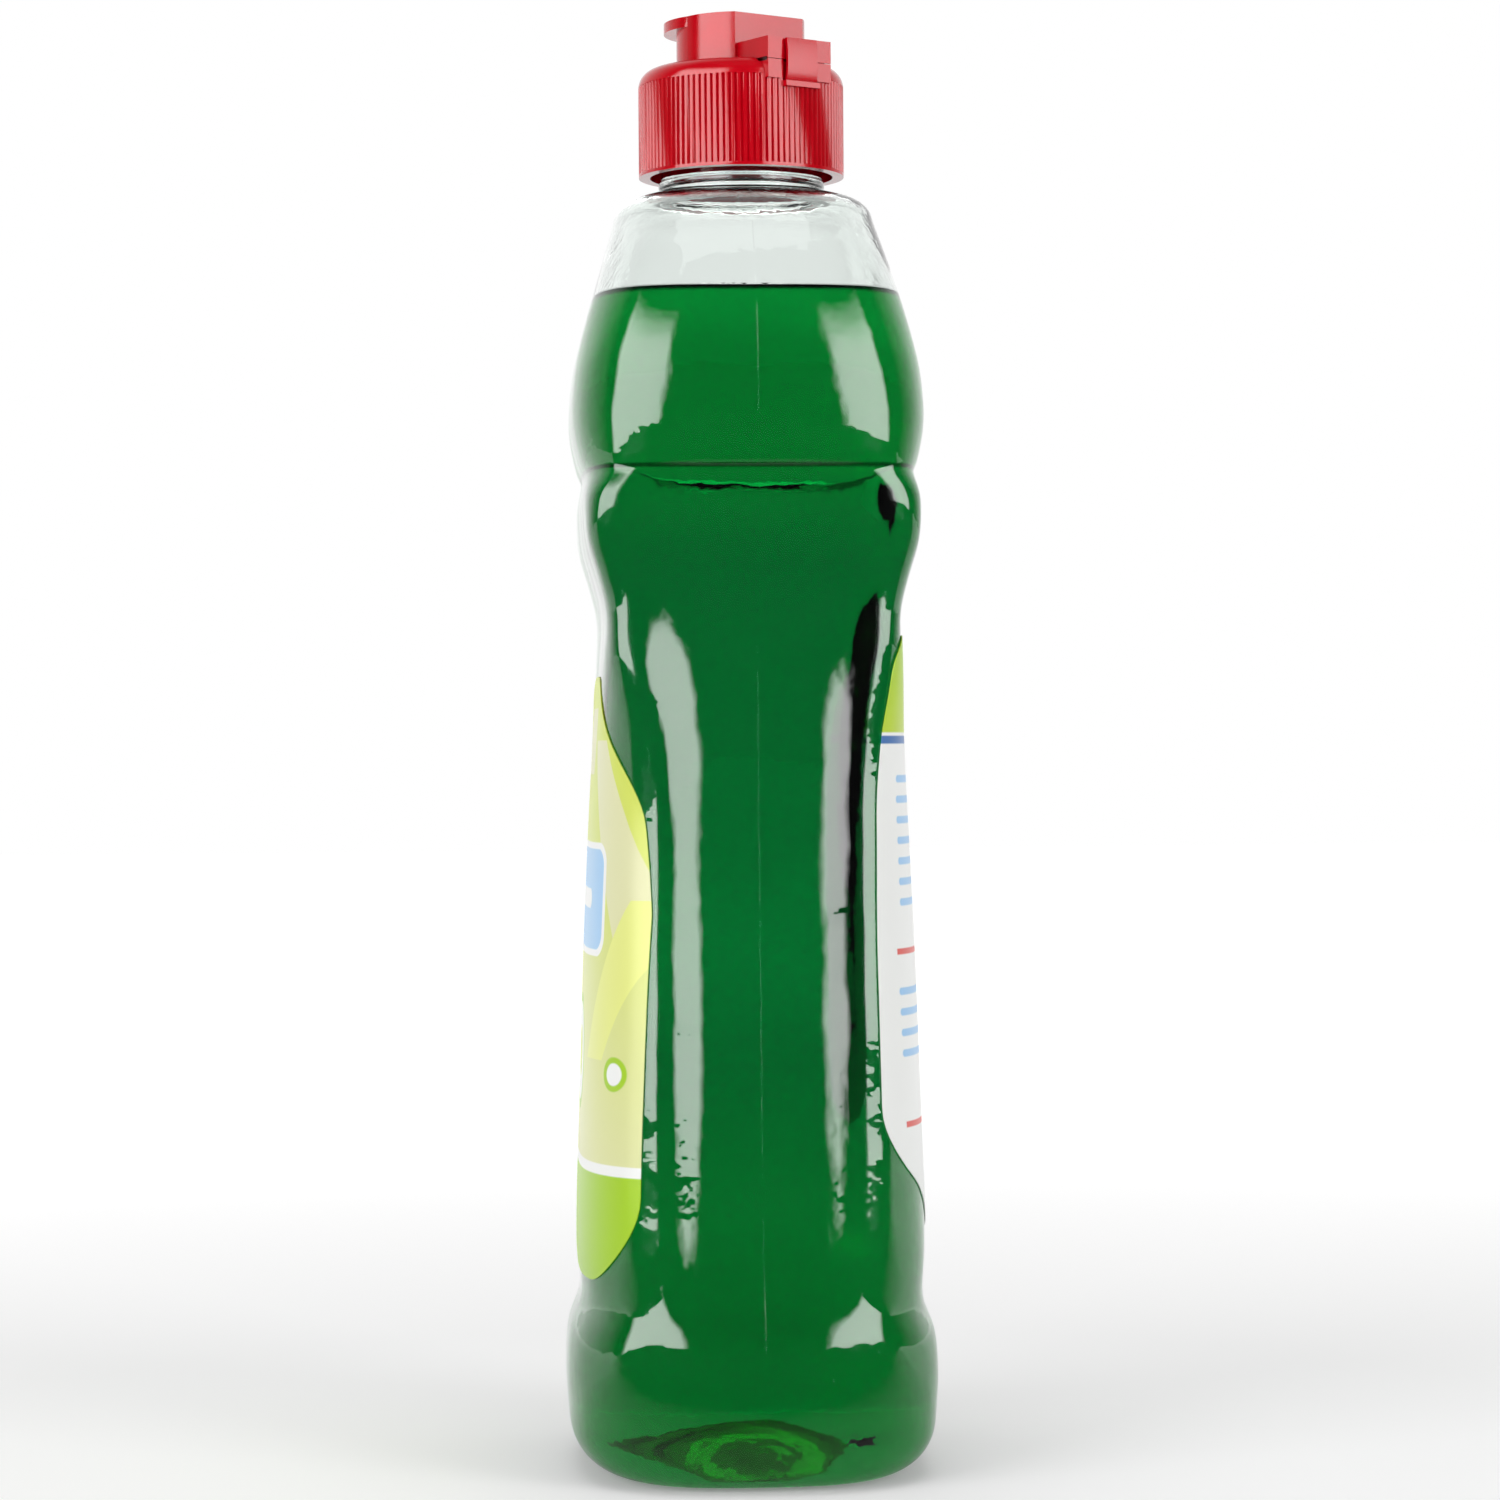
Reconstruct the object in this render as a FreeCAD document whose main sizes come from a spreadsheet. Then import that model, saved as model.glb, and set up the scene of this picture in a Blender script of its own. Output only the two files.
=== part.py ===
"""Dish soap bottle: a waisted clear bottle of green detergent, two film labels and a ribbed screw cap with a flip top.

The frame: +Z up, origin at the middle of the base, the front label faces -Y and the wide way of the bottle is X.
"""
import FreeCAD, Part
import math
import os

import Sketcher

os.makedirs("parts", exist_ok=True)
doc = FreeCAD.newDocument("dish_soap_bottle")
Vector = FreeCAD.Vector
UP = Vector(0, 0, 1)

# Driving sizes in millimetres, angles in degrees
SIZES = {
    # The blown bottle
    "bottle_wall": 0.5,
    "heel_inset": 8.0,
    "base_land": 3.0,
    "push_up": 7.0,
    "crown_rise": 4.5,
    "side_strip": 7.5,
    "neck_radius": 12.55,
    "neck_flare": 1.05,
    "neck_height": 17.4,
    "neck_wall": 1.65,
    "bead_rise": 0.4,
    "bead_height": 1.3,
    "bead_width": 0.9,
    # The screw thread, one start, on the neck and in the cap
    "thread_pitch": 4.233,
    "thread_depth": 1.2,
    "thread_root": 2.2,
    "thread_crest": 1.0,
    "thread_turns": 1.5,
    "thread_bottom": 8.4,
    "cap_thread_turns": 1.25,
    # The detergent
    "liquid_level": 180.2,
    "liquid_gap": 0.03,
    # The two film labels
    "film_gap": 0.02,
    "film_thickness": 0.15,
    "label_start": 14.2,
    "front_label_top": 122.0,
    "front_label_brow": 106.0,
    "front_label_middle": 86.0,
    "front_label_foot": 30.5,
    "front_label_crown": 13.4,
    "front_label_shoulder": 27.8,
    "front_label_side": 29.4,
    "front_label_hip": 31.0,
    "front_label_round": 13.0,
    "front_label_arch": 20.0,
    "back_label_top": 127.7,
    "back_label_middle": 88.0,
    "back_label_hip": 50.0,
    "back_label_foot": 36.5,
    "back_label_crown": 27.4,
    "back_label_side": 29.1,
    "back_label_girth": 30.6,
    "back_label_point": 9.6,
    "back_label_round": 6.0,
    # The cap: skirt, ribs, deck and nozzle
    "cap_lift": 3.1,
    "cap_wall": 1.75,
    "bore_clearance": 0.5,
    "cap_deck": 1.5,
    "cap_shoulder": 2.9,
    "rib_count": 105,
    "rib_depth": 0.35,
    "rib_groove": 0.46,
    "rib_plain_rim": 0.5,
    "rib_top": 14.0,
    "thread_clearance": 0.4,
    "thread_embed": 0.1,
    "nozzle_foot": 4.2,
    "nozzle_tip": 2.7,
    "nozzle_height": 3.2,
    "orifice": 1.6,
    # The sealing liner under the deck
    "liner_play": 0.75,
    "liner_hole": 4.0,
    "liner_thickness": 1.0,
    # The flip-top lid
    "hinge_azimuth": 31.0,
    "lid_gap": 0.1,
    "lid_radius": 10.0,
    "lid_flat": 7.7,
    "lid_height": 7.5,
    "lid_wall": 1.2,
    "lid_roof": 1.3,
    "lip_radius": 10.4,
    "lip_reach": 2.8,
    "lip_thickness": 1.6,
    "plug_radius": 1.2,
    "plug_depth": 1.3,
    # The hinge: two blocks that meet at a film, and the sprung strap between them
    "hinge_setback": 0.2,
    "hinge_half_width": 5.9,
    "hinge_slit": 0.6,
    "hinge_drop": 0.9,
    "hinge_block": 3.1,
    "lower_block": 2.6,
    "film_hinge": 0.3,
    "film_split": 0.1,
    "strap_half_width": 2.8,
    "strap_thickness": 0.5,
    "strap_bow": 0.3,
    "strap_gap": 0.1,
    "strap_tail": 3.3,
    "ledge_thickness": 0.8,
    "ledge_margin": 0.4,
    "relief_margin": 0.4,
    "slot_margin": 0.3,
}

# Sizes that follow from the others, so that the closure keeps fitting the neck
FOLLOWING = {
    "neck_bore": "=neck_radius - neck_wall",
    "bead_radius": "=neck_radius + bead_rise",
    "cap_bore": "=neck_radius + thread_depth + bore_clearance",
    "cap_radius": "=cap_bore + cap_wall",
    "liner_radius": "=cap_bore - liner_play",
    "hinge_reach": "=cap_radius - hinge_setback",
}

# Levels of the bottle from the heel up: the rise from the level below, the half depth, the half width of the front
# panel's form and of the back panel's, the half width at the narrow side, how fast the narrow side's hollow rises
# beside its flat strip, and how square the section is
LEVELS = {
    "heel": (8.0, 28.3, 35.1, 35.1, 39.0, 0.0, 3.0),
    "base_bulge": (6.7, 28.7, 35.4, 35.4, 39.0, 0.0, 3.0),
    "base_top": (6.3, 28.3, 35.2, 35.2, 38.0, 0.0, 3.0),
    "foot_notch": (6.0, 26.2, 35.6, 35.6, 33.0, 0.01, 3.0),
    "panel_foot": (7.0, 26.6, 34.9, 35.2, 31.2, 0.04, 3.1),
    "panel_low": (21.3, 26.0, 33.8, 34.1, 29.8, 0.065, 3.2),
    "panel_middle": (21.7, 25.3, 32.7, 33.2, 28.6, 0.07, 3.2),
    "panel_high": (23.0, 24.2, 31.4, 32.3, 27.6, 0.07, 3.4),
    "panel_brow": (12.0, 23.4, 31.3, 31.3, 27.2, 0.06, 4.2),
    "panel_top": (12.0, 22.7, 32.6, 30.3, 27.3, 0.03, 7.0),
    "waist": (6.3, 22.3, 34.0, 30.5, 27.8, 0.012, 9.0),
    "grip_low": (6.3, 23.6, 34.8, 31.0, 28.5, 0.004, 9.0),
    "grip": (6.2, 25.3, 35.4, 32.0, 29.2, 0.004, 9.0),
    "grip_high": (6.2, 25.6, 34.4, 33.2, 30.0, 0.004, 7.0),
    "crease": (3.6, 24.9, 32.8, 32.8, 30.1, 0.002, 5.0),
    "chest_foot": (1.4, 25.7, 32.8, 32.8, 32.2, 0.0, 4.4),
    "chest": (7.6, 27.1, 33.0, 33.0, 35.0, 0.0, 3.9),
    "chest_high": (6.2, 26.7, 32.4, 32.4, 38.0, 0.0, 3.7),
    "slope_low": (6.3, 25.4, 30.9, 30.9, 38.0, 0.0, 3.6),
    "slope": (6.2, 23.7, 28.4, 28.4, 38.0, 0.0, 3.5),
    "slope_high": (6.3, 21.9, 25.4, 25.4, 38.0, 0.0, 3.2),
    "shoulder": (5.6, 20.2, 21.6, 21.6, 38.0, 0.0, 2.8),
}
TRAITS = ("rise", "depth", "front_width", "back_width", "side", "hollow", "squareness")

RING_POINTS = 80
ROW_SPACING = 2.2
HEEL_ROWS = 7
RIDGE_SHARPNESS = 30


def fill_sheet():
    """Put every driving size in the sheet under its own name, and then the sizes that follow from them."""
    sheet = doc.addObject("Spreadsheet::Sheet", "sizes")
    values = dict(SIZES)
    for level, numbers in LEVELS.items():
        for trait, number in zip(TRAITS, numbers):
            values[f"{level}_{trait}"] = number
    values.update(FOLLOWING)
    for row, (name, value) in enumerate(values.items(), start=1):
        sheet.set(f"A{row}", name)
        sheet.set(f"B{row}", str(value))
        sheet.setAlias(f"B{row}", name)
    doc.recompute()
    return sheet


sizes = fill_sheet()


def size(name):
    """A driving size read back from the sheet."""
    return float(getattr(sizes, name))


def level_heights():
    """The height of each level above the base."""
    heights = []
    height = 0.0
    for level in LEVELS:
        height += size(f"{level}_rise")
        heights.append(height)
    return heights


# Sums of sizes that several pieces share, as expressions and as numbers
SHOULDER_TOP = "(" + " + ".join(f"sizes.{level}_rise" for level in LEVELS) + " + sizes.crown_rise)"
CAP_FOOT = f"({SHOULDER_TOP} + sizes.cap_lift)"
NECK_TOP_IN_CAP = "(sizes.neck_height - sizes.cap_lift)"
DECK_UNDERSIDE = f"({NECK_TOP_IN_CAP} + sizes.liner_thickness)"
DECK_TOP = f"({DECK_UNDERSIDE} + sizes.cap_deck)"
shoulder_top = level_heights()[-1] + size("crown_rise")
cap_foot = shoulder_top + size("cap_lift")


def slopes(places, values):
    """Slopes for a smooth curve through the values that never swings past them."""
    steps = [(values[i + 1] - values[i]) / (places[i + 1] - places[i]) for i in range(len(values) - 1)]
    result = [steps[0]]
    for before, after in zip(steps, steps[1:]):
        same_way = before * after > 0
        result.append(2 * before * after / (before + after) if same_way else 0.0)
    return result + [steps[-1]]


def between(places, values, tangents, index, share):
    """The smooth curve's value at a share of the way from one place to the next."""
    span = places[index + 1] - places[index]
    start = values[index] * (1 + 2 * share) * (1 - share) ** 2
    end = values[index + 1] * share ** 2 * (3 - 2 * share)
    bend = tangents[index] * share * (1 - share) ** 2 - tangents[index + 1] * share ** 2 * (1 - share)
    return start + end + span * bend


def ring(section, inset, height):
    """One level ring of the bottle, drawn in by the inset: two panels, cut by the hollow narrow sides."""
    depth, front_width, back_width, side, hollow, squareness = section
    points = []
    for step in range(RING_POINTS):
        angle = 2 * math.pi * step / RING_POINTS
        across = abs(math.cos(angle))
        along = abs(math.sin(angle))
        width = back_width if step < RING_POINTS / 2 else front_width
        panel = (across / (width - inset)) ** squareness + (along / (depth - inset)) ** squareness
        radius = panel ** (-1 / squareness)
        if across > 0.2:
            beside = max(0.0, side * along / across - size("side_strip"))
            flank = (side - inset + hollow * beside ** 2) / across
            radius = (radius ** -RIDGE_SHARPNESS + flank ** -RIDGE_SHARPNESS) ** (-1 / RIDGE_SHARPNESS)
        points.append(Vector(radius * math.cos(angle), radius * math.sin(angle), height))
    return points


def closed_skin(rows):
    """A solid whose side follows the rings smoothly, closed flat at both ends."""
    surface = Part.BSplineSurface()
    ends = [4] + [1] * (len(rows) - 4) + [4]
    along_knots = [float(i) for i in range(len(rows) - 2)]
    around_knots = [float(i) for i in range(RING_POINTS + 1)]
    around = [1] * (RING_POINTS + 1)
    surface.buildFromPolesMultsKnots(rows, ends, around, along_knots, around_knots, False, True, 3, 3)
    side = surface.toShape()
    rims = [edge for edge in side.Edges if edge.BoundBox.ZLength < 1e-6]
    shell = Part.Shell([side] + [Part.Face(Part.Wire([rim])) for rim in rims])
    shell.sewShape()
    return Part.Solid(shell)


def bottle_skin(inset):
    """The bottle's form from base to shoulder top, drawn in by the inset."""
    heights = level_heights()
    sections = [[size(f"{level}_{trait}") for trait in TRAITS[1:]] for level in LEVELS]
    columns = list(zip(*sections))
    tangents = [slopes(heights, column) for column in columns]
    heel_rise = heights[0] - inset
    heel_inset = size("heel_inset") - inset
    rows = []
    for step in range(HEEL_ROWS):
        turn = math.pi / 2 * (1 - step / HEEL_ROWS)
        drawn_in = inset + heel_inset * (1 - math.cos(turn))
        rows.append(ring(sections[0], drawn_in, inset + heel_rise * (1 - math.sin(turn))))
    for index in range(len(heights) - 1):
        rise = heights[index + 1] - heights[index]
        count = max(2, round(rise / ROW_SPACING))
        for step in range(count):
            share = step / count
            section = [between(heights, columns[k], tangents[k], index, share) for k in range(len(columns))]
            rows.append(ring(section, inset, heights[index] + rise * share))
    opening = size("neck_radius") + size("neck_flare")
    mouth = (opening, opening, opening, 2 * opening, 0.0, 2.0)
    for step in range(HEEL_ROWS + 1):
        turn = math.pi / 2 * step / HEEL_ROWS
        share = 1 - math.cos(turn)
        section = [start + (end - start) * share for start, end in zip(sections[-1], mouth)]
        rows.append(ring(section, inset, heights[-1] + (size("crown_rise") - inset) * math.sin(turn)))
    return closed_skin(rows)


def push_up(grow):
    """The dome that hollows the base, swollen and lifted by the wall over it."""
    section = [size(f"heel_{trait}") for trait in TRAITS[1:]]
    rim = ring(section, size("heel_inset") + size("base_land") - grow, 0.0)
    start = math.sqrt(1 + 2 / size("push_up"))
    end = 0.1
    rows = []
    for step in range(10):
        scale = start + (end - start) * step / 9
        height = grow + size("push_up") * (1 - scale ** 2)
        rows.append([Vector(point.x * scale, point.y * scale, height) for point in rim])
    return closed_skin(rows)


def feature(name, shape):
    """A document object that holds a shape made from the sheet's sizes."""
    made = doc.addObject("Part::Feature", name)
    made.Shape = shape
    return made


def primitive(kind, name, bindings, place=(None, None, None)):
    """A Part primitive with its sizes and its corner or centre bound to the sheet."""
    made = doc.addObject(f"Part::{kind}", name)
    for property_name, expression in bindings.items():
        made.setExpression(property_name, expression)
    for axis, expression in zip("xyz", place):
        if expression is not None:
            made.setExpression(f"Placement.Base.{axis}", expression)
    return made


def box(name, low, high):
    """A box between two corners, each given as three expressions."""
    bindings = {}
    for property_name, start, end in zip(("Length", "Width", "Height"), low, high):
        bindings[property_name] = f"({end}) - ({start})"
    return primitive("Box", name, bindings, low)


def cylinder(name, radius, height, place):
    return primitive("Cylinder", name, {"Radius": radius, "Height": height}, place)


def cut(name, base, tool):
    made = doc.addObject("Part::Cut", name)
    made.Base = base
    made.Tool = tool
    return made


def join(name, base, tool):
    made = doc.addObject("Part::Fuse", name)
    made.Base = base
    made.Tool = tool
    return made


def fuse(name, pieces):
    made = doc.addObject("Part::MultiFuse", name)
    made.Shapes = pieces
    return made


def common(name, pieces):
    made = doc.addObject("Part::MultiCommon", name)
    made.Shapes = pieces
    return made


def sketched(body, name, role, corners):
    """A closed sketch of straight edges on one of the body's own planes, each corner bound to the sheet."""
    plane = next(item for item in body.Origin.OriginFeatures if item.Role == role)
    outline = body.newObject("Sketcher::SketchObject", name)
    outline.AttachmentSupport = [(plane, "")]
    outline.MapMode = "FlatFace"
    count = len(corners)
    spots = []
    for index in range(count):
        turn = 2 * math.pi * index / count
        spots.append(Vector(20 + 10 * math.cos(turn), 20 + 10 * math.sin(turn), 0))
    for index in range(count):
        outline.addGeometry(Part.LineSegment(spots[index], spots[(index + 1) % count]), False)
    for index in range(count):
        outline.addConstraint(Sketcher.Constraint("Coincident", index, 2, (index + 1) % count, 1))
    for index, corner in enumerate(corners):
        for kind, expression, spot in zip(("DistanceX", "DistanceY"), corner, spots[index][:2]):
            number = outline.addConstraint(Sketcher.Constraint(kind, -1, 1, index, 1, spot))
            outline.renameConstraint(number, f"corner_{index}_{kind[-1].lower()}")
            outline.setExpression(f"Constraints.corner_{index}_{kind[-1].lower()}", expression)
    return outline


def turned(name, corners):
    """A body made by turning a profile of radius and height corners about Z."""
    body = doc.addObject("PartDesign::Body", name)
    profile = sketched(body, f"{name}_profile", "XZ_Plane", corners)
    revolution = body.newObject("PartDesign::Revolution", f"{name}_turning")
    revolution.Profile = profile
    revolution.ReferenceAxis = (profile, ["V_Axis"])
    revolution.Angle = 360
    doc.recompute()
    return body


def thread(name, root_radius, crest_radius, turns, height):
    """A single-start trapezoid ridge wound up from the given height."""
    pitch = size("thread_pitch")
    helix = Part.makeHelix(pitch, pitch * turns, root_radius)
    helix.translate(Vector(0, 0, height))
    half_root = size("thread_root") / 2
    half_crest = size("thread_crest") / 2
    corners = [
        Vector(root_radius, 0, height - half_root),
        Vector(crest_radius, 0, height - half_crest),
        Vector(crest_radius, 0, height + half_crest),
        Vector(root_radius, 0, height + half_root),
    ]
    profile = Part.makePolygon(corners + [corners[0]])
    ridge = Part.Wire(helix).makePipeShell([profile], True, True)
    return feature(name, ridge)


def rounded_face(corners, radii):
    """A flat face in the XZ plane: a polygon whose corners are arcs of the given radii."""
    edges = []
    joints = []
    count = len(corners)
    for index, (corner, radius) in enumerate(zip(corners, radii)):
        before = (corners[index - 1] - corner).normalize()
        after = (corners[(index + 1) % count] - corner).normalize()
        half = before.getAngle(after) / 2
        reach = radius / math.tan(half)
        middle = corner + (before + after).normalize() * (radius / math.sin(half) - radius)
        joints.append((corner + before * reach, middle, corner + after * reach))
    for index, (start, middle, end) in enumerate(joints):
        edges.append(Part.Arc(start, middle, end).toShape())
        edges.append(Part.LineSegment(end, joints[(index + 1) % count][0]).toShape())
    return Part.Face(Part.Wire(edges))


def film(name, face, facing):
    """A thin film on the bottle, the size of the face, on the side that it faces along Y."""
    start = face.translated(Vector(0, facing * size("label_start"), 0))
    prism = start.extrude(Vector(0, facing * 2 * size("heel_depth"), 0))
    return feature(name, prism.common(film_outside.Shape).cut(film_inside.Shape))


# Bottle: the blown body, the moulded neck with its thread, and the cavity with its bore
outer_skin = feature("outer_skin", bottle_skin(0.0))
neck = turned("neck", [
    ("0", SHOULDER_TOP),
    ("sizes.neck_radius + sizes.neck_flare - 0.05", SHOULDER_TOP),
    ("sizes.neck_radius", f"{SHOULDER_TOP} + sizes.neck_flare"),
    ("sizes.bead_radius", f"{SHOULDER_TOP} + sizes.bead_height"),
    ("sizes.bead_radius", f"{SHOULDER_TOP} + sizes.bead_height + sizes.bead_width"),
    ("sizes.neck_radius", f"{SHOULDER_TOP} + sizes.bead_height + sizes.bead_width + 0.2"),
    ("sizes.neck_radius", f"{SHOULDER_TOP} + sizes.neck_height"),
    ("0", f"{SHOULDER_TOP} + sizes.neck_height"),
])
neck_thread = thread(
    "neck_thread",
    size("neck_radius") - size("thread_embed"),
    size("neck_radius") + size("thread_depth"),
    size("thread_turns"),
    shoulder_top + size("thread_bottom"),
)
plain_blank = join("plain_blank", outer_skin, neck)
bottle_blank = join("bottle_blank", plain_blank, neck_thread)
cavity_skin = feature("cavity_skin", bottle_skin(size("bottle_wall")))
inner_dome = feature("inner_dome", push_up(size("bottle_wall")))
cavity = cut("cavity", cavity_skin, inner_dome)
bore = cylinder(
    "bore",
    "sizes.neck_bore",
    "sizes.neck_height + 2 * sizes.bottle_wall",
    (None, None, f"{SHOULDER_TOP} - 1.5 * sizes.bottle_wall"),
)
hollow = fuse("hollow", [cavity, bore])
base_dome = feature("base_dome", push_up(0.0))
domed_blank = cut("domed_blank", bottle_blank, base_dome)
bottle = cut("bottle", domed_blank, hollow)

# Liquid: the detergent that fills the cavity up to its level
liquid_inset = size("bottle_wall") + size("liquid_gap")
liquid_skin = feature("liquid_skin", bottle_skin(liquid_inset))
liquid_dome = feature("liquid_dome", push_up(liquid_inset))
full = cut("full", liquid_skin, liquid_dome)
head_space = cylinder("head_space", "3 * sizes.heel_front_width", SHOULDER_TOP, (None, None, "sizes.liquid_level"))
liquid = cut("liquid", full, head_space)


def front_label_face():
    """The front label's outline: an arched top, straight sides and a rounded foot."""
    side = [
        Vector(size("front_label_crown"), 0, size("front_label_top")),
        Vector(size("front_label_shoulder"), 0, size("front_label_brow")),
        Vector(size("front_label_side"), 0, size("front_label_middle")),
        Vector(size("front_label_hip"), 0, size("front_label_foot")),
    ]
    other = [Vector(-corner.x, 0, corner.z) for corner in reversed(side)]
    arch = size("front_label_arch")
    radii = [arch, arch, arch, size("front_label_round")]
    return rounded_face(side + other, radii + radii[::-1])


def back_label_face():
    """The back label's outline: square shoulders and a foot that comes down to a soft point."""
    corner = size("back_label_round")
    side = [
        Vector(size("back_label_crown"), 0, size("back_label_top")),
        Vector(size("back_label_side"), 0, size("back_label_middle")),
        Vector(size("back_label_girth"), 0, size("back_label_hip")),
        Vector(size("back_label_point"), 0, size("back_label_foot")),
    ]
    other = [Vector(-point.x, 0, point.z) for point in reversed(side)]
    radii = [corner, 10 * corner, 2 * corner, 2 * corner]
    return rounded_face(side + other, radii + radii[::-1])


film_inside = feature("film_inside", bottle_skin(-size("film_gap")))
film_outside = feature("film_outside", bottle_skin(-size("film_gap") - size("film_thickness")))
front_label = film("front_label", front_label_face(), -1)
back_label = film("back_label", back_label_face(), 1)

# Cap: turned shell with ribs, thread, nozzle and the lower hinge block, in a frame of its own whose hinge is at +X
cap_shell = turned("cap_shell", [
    ("sizes.orifice", DECK_UNDERSIDE),
    ("sizes.cap_bore", DECK_UNDERSIDE),
    ("sizes.cap_bore", "0"),
    ("sizes.cap_radius", "0"),
    ("sizes.cap_radius", DECK_TOP),
    ("sizes.nozzle_foot", DECK_TOP),
    ("sizes.nozzle_tip", f"{DECK_TOP} + sizes.nozzle_height"),
    ("sizes.orifice", f"{DECK_TOP} + sizes.nozzle_height"),
])


def edges_at(body, radius, height):
    """Names of the body's round edges with the given radius at the given height."""
    names = []
    for number, edge in enumerate(body.Shape.Edges, start=1):
        level = edge.BoundBox.ZLength < 1e-3 and abs(edge.BoundBox.ZMax - height) < 1e-3
        if level and abs(edge.BoundBox.XMax - radius) < 1e-3:
            names.append(f"Edge{number}")
    return names


deck_underside = size("neck_height") - size("cap_lift") + size("liner_thickness")
deck_top = deck_underside + size("cap_deck")
turning = cap_shell.Tip
deck_rim = edges_at(cap_shell, size("cap_radius"), deck_top)
shoulder_round = cap_shell.newObject("PartDesign::Fillet", "shoulder_round")
shoulder_round.Base = (turning, deck_rim)
shoulder_round.setExpression("Radius", "sizes.cap_shoulder")
doc.recompute()
cap_shell.Tip = shoulder_round
groove_sketch = sketched(cap_shell, "groove_sketch", "XY_Plane", [
    ("sizes.cap_radius - sizes.rib_depth", "0"),
    ("sizes.cap_radius + 0.2", "-sizes.rib_groove"),
    ("sizes.cap_radius + 0.2", "sizes.rib_groove"),
])
groove_sketch.setExpression("AttachmentOffset.Base.z", "sizes.rib_plain_rim")
groove = cap_shell.newObject("PartDesign::Pocket", "groove")
groove.Profile = groove_sketch
groove.setExpression("Length", "sizes.rib_top - sizes.rib_plain_rim")
groove.Reversed = True
doc.recompute()
grooves = cap_shell.newObject("PartDesign::PolarPattern", "grooves")
grooves.Originals = [groove]
grooves.Axis = (groove_sketch, ["N_Axis"])
grooves.Angle = 360
grooves.setExpression("Occurrences", "sizes.rib_count")
cap_shell.Tip = grooves
doc.recompute()

# Half a pitch above the neck's ridge, so each runs in the other's groove
cap_thread = thread(
    "cap_thread",
    size("cap_bore") + size("thread_embed"),
    size("neck_radius") + size("thread_clearance"),
    size("cap_thread_turns"),
    size("thread_bottom") - size("cap_lift") - size("thread_pitch") / 2,
)

# Lower hinge block: the deck is cut down to its top, which carries half of the film hinge at the outer edge
HINGE_TOP = f"({DECK_TOP} - sizes.hinge_drop)"
HINGE_AXIS = f"({HINGE_TOP} + sizes.hinge_slit / 2)"
lower_block = box(
    "lower_block",
    ("sizes.cap_bore - 2", "-sizes.hinge_half_width", f"{HINGE_TOP} - sizes.lower_block"),
    ("sizes.hinge_reach", "sizes.hinge_half_width", HINGE_TOP),
)
lower_film = box(
    "lower_film",
    ("sizes.hinge_reach - sizes.film_hinge", "-sizes.hinge_half_width", HINGE_TOP),
    ("sizes.hinge_reach", "sizes.hinge_half_width", f"{HINGE_AXIS} - sizes.film_split / 2"),
)
deck_relief = box(
    "deck_relief",
    ("sizes.lid_flat - sizes.lid_wall / 2 - sizes.relief_margin", "-sizes.hinge_half_width - sizes.relief_margin",
     HINGE_TOP),
    ("sizes.cap_radius + 1", "sizes.hinge_half_width + sizes.relief_margin", f"{DECK_TOP} + 1"),
)
STRAP_FOOT = f"({HINGE_AXIS} - sizes.strap_tail)"
strap_ledge = box(
    "strap_ledge",
    ("sizes.cap_radius - 1", "-sizes.strap_half_width - sizes.ledge_margin", f"{STRAP_FOOT} - sizes.ledge_thickness"),
    ("sizes.hinge_reach + sizes.strap_gap + sizes.strap_thickness + sizes.ledge_margin",
     "sizes.strap_half_width + sizes.ledge_margin", STRAP_FOOT),
)
strap_slot = box(
    "strap_slot",
    ("sizes.hinge_reach - sizes.slot_margin", "-sizes.strap_half_width - sizes.slot_margin", STRAP_FOOT),
    ("sizes.cap_radius + 2", "sizes.strap_half_width + sizes.slot_margin", HINGE_AXIS),
)
neck_room = cylinder("neck_room", "sizes.cap_bore", DECK_UNDERSIDE, (None, None, None))
outer_block = cut("outer_block", lower_block, neck_room)
relieved_shell = cut("relieved_shell", cap_shell, deck_relief)
cap_blank = fuse("cap_blank", [relieved_shell, outer_block, lower_film, strap_ledge])
slotted_cap = cut("slotted_cap", cap_blank, strap_slot)
cap = join("cap", slotted_cap, cap_thread)

# Sealing liner: a foam ring between the neck's rim and the deck
liner_disc = cylinder("liner_disc", "sizes.liner_radius", "sizes.liner_thickness", (None, None, NECK_TOP_IN_CAP))
liner_hole = cylinder("liner_hole", "sizes.liner_hole", "sizes.liner_thickness", (None, None, NECK_TOP_IN_CAP))
sealing_liner = cut("sealing_liner", liner_disc, liner_hole)

# Lid: a round cover with one flat side, an opening lip, a plug and the upper hinge block
LID_FOOT = f"({DECK_TOP} + sizes.lid_gap)"
LID_TOP = f"({LID_FOOT} + sizes.lid_height)"
lid_round = cylinder("lid_round", "sizes.lid_radius", "sizes.lid_height", (None, None, LID_FOOT))
lid_trim = box(
    "lid_trim",
    ("-2 * sizes.lid_radius", "-2 * sizes.lid_radius", LID_FOOT),
    ("sizes.lid_flat", "2 * sizes.lid_radius", LID_TOP),
)
lid_block = common("lid_block", [lid_round, lid_trim])
lip_disc = cylinder("lip_disc", "sizes.lip_radius", "sizes.lip_thickness",
                    ("-sizes.lip_reach", None, f"{LID_TOP} - sizes.lip_thickness"))
lip_trim = box(
    "lip_trim",
    ("-2 * sizes.lid_radius - sizes.lip_reach", "-2 * sizes.lid_radius", f"{LID_TOP} - sizes.lip_thickness"),
    ("0", "2 * sizes.lid_radius", LID_TOP),
)
lid_lip = common("lid_lip", [lip_disc, lip_trim])
UPPER_BLOCK_FOOT = f"({HINGE_TOP} + sizes.hinge_slit)"
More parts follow.
